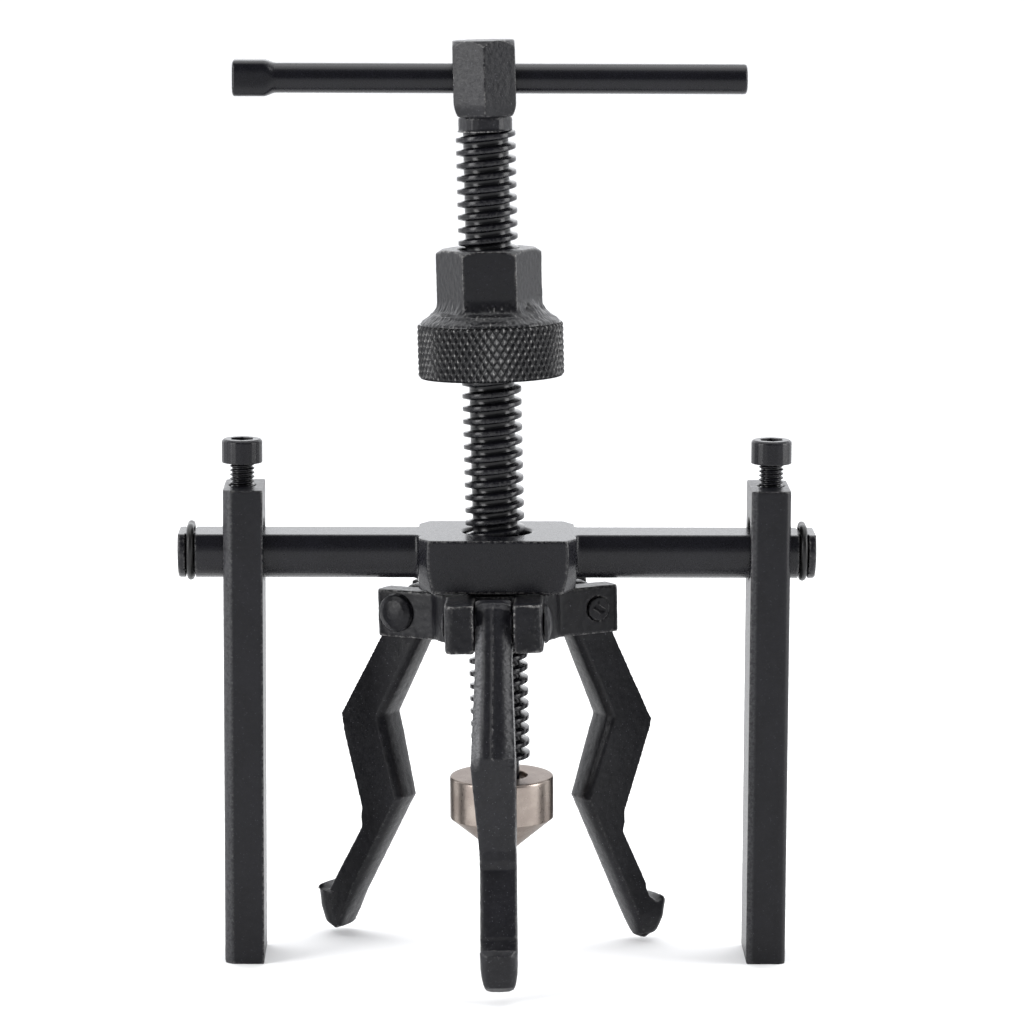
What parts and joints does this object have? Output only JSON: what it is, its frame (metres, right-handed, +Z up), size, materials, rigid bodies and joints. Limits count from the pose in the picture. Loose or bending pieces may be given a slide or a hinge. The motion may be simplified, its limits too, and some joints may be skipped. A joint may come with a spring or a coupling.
{
  "type": "gear puller",
  "caption": "Bridge puller: a forcing screw through a beam on sliding legs carries a spreading cone and hinged jaws with outward hooks; a knurled nut draws them up.",
  "frame": {"origin": "on the surface that the legs stand on, under the middle of the tool's plan, with x = 0 at the middle of the beam", "axes": "+X along the beam towards its right leg, +Y away from the front jaw, +Z up the forcing screw"},
  "size_m": [0.15, 0.078, 0.2182],
  "materials": {
    "turned_black_steel": "black oxide, satin",
    "forged_black_steel": "black oxide on a forged surface, slightly grainy",
    "rubber": "smooth, semi-gloss",
    "bright_steel": "turned and nickel plated, satin",
    "spring_steel": "drawn wire"
  },
  "bodies": {
    "frame": {"beam": "turned_black_steel", "ring_left": "rubber", "ring_right": "rubber"},
    "left_leg": {"leg_left": "turned_black_steel"},
    "right_leg": {"leg_right": "turned_black_steel"},
    "left_clamp": {"clamp_screw_left": "turned_black_steel"},
    "right_clamp": {"clamp_screw_right": "turned_black_steel"},
    "jaw_carrier": {"carrier": "forged_black_steel", "rivet_front": "forged_black_steel", "rivet_left": "forged_black_steel", "rivet_right": "forged_black_steel"},
    "draw_nut": {"nut": "forged_black_steel"},
    "spreader": {"cone": "bright_steel", "cone_keeper": "spring_steel"},
    "screw": {"forcing_screw": "turned_black_steel"},
    "bar": {"tommy_bar": "turned_black_steel"},
    "front_jaw": {"jaw_front": "forged_black_steel"},
    "right_jaw": {"jaw_right": "forged_black_steel"},
    "left_jaw": {"jaw_left": "forged_black_steel"}
  },
  "joints": [
    {"name": "leg_left_slide", "type": "slide", "parent": "frame", "child": "left_leg", "axis": [-1, 0, 0], "range_m": [-0.024, 0.0066]},
    {"name": "leg_right_slide", "type": "slide", "parent": "frame", "child": "right_leg", "axis": [1, 0, 0], "range_m": [-0.024, 0.0021]},
    {"name": "clamp_left_slide", "type": "slide", "parent": "left_leg", "child": "left_clamp", "axis": [0, 0, 1], "range_m": [0, 0.006]},
    {"name": "clamp_right_slide", "type": "slide", "parent": "right_leg", "child": "right_clamp", "axis": [0, 0, 1], "range_m": [0, 0.006]},
    {"name": "carrier_slide", "type": "slide", "parent": "frame", "child": "jaw_carrier", "axis": [-0.0277, 0.0262, 0.9993], "range_m": [-0.021, 0]},
    {"name": "nut_slide", "type": "slide", "parent": "jaw_carrier", "child": "draw_nut", "axis": [-0.0277, 0.0262, 0.9993], "range_m": [-0.014, 0.007]},
    {"name": "cone_advance", "type": "slide", "parent": "jaw_carrier", "child": "spreader", "axis": [-0.0277, 0.0262, 0.9993], "range_m": [-0.02, 0.03]},
    {"name": "screw_turn", "type": "hinge", "parent": "spreader", "child": "screw", "pos_m": [-0.0003, 0.01035, 0.09875], "axis": [-0.0277, 0.0262, 0.9993], "range_deg": [-2400, 3600]},
    {"name": "bar_slide", "type": "slide", "parent": "screw", "child": "bar", "axis": [1, 0, 0], "range_m": [-0.048, 0.041]},
    {"name": "jaw_front_swing", "type": "hinge", "parent": "jaw_carrier", "child": "front_jaw", "pos_m": [-0.00081, -0.01092, 0.08413], "axis": [-0.9986, 0.0436, -0.0289], "range_deg": [-12, 25]},
    {"name": "jaw_right_swing", "type": "hinge", "parent": "jaw_carrier", "child": "right_jaw", "pos_m": [0.01866, 0.0196, 0.08387], "axis": [0.4609, -0.8867, 0.036], "range_deg": [-8.5, 28]},
    {"name": "jaw_left_swing", "type": "hinge", "parent": "jaw_carrier", "child": "left_jaw", "pos_m": [-0.01749, 0.02118, 0.08283], "axis": [0.5377, 0.8431, -0.0072], "range_deg": [-15.5, 21]}
  ],
  "couplings": [
    {"joint": "cone_advance", "follows": "screw_turn", "m_per_rad": 0.00047746}
  ]
}
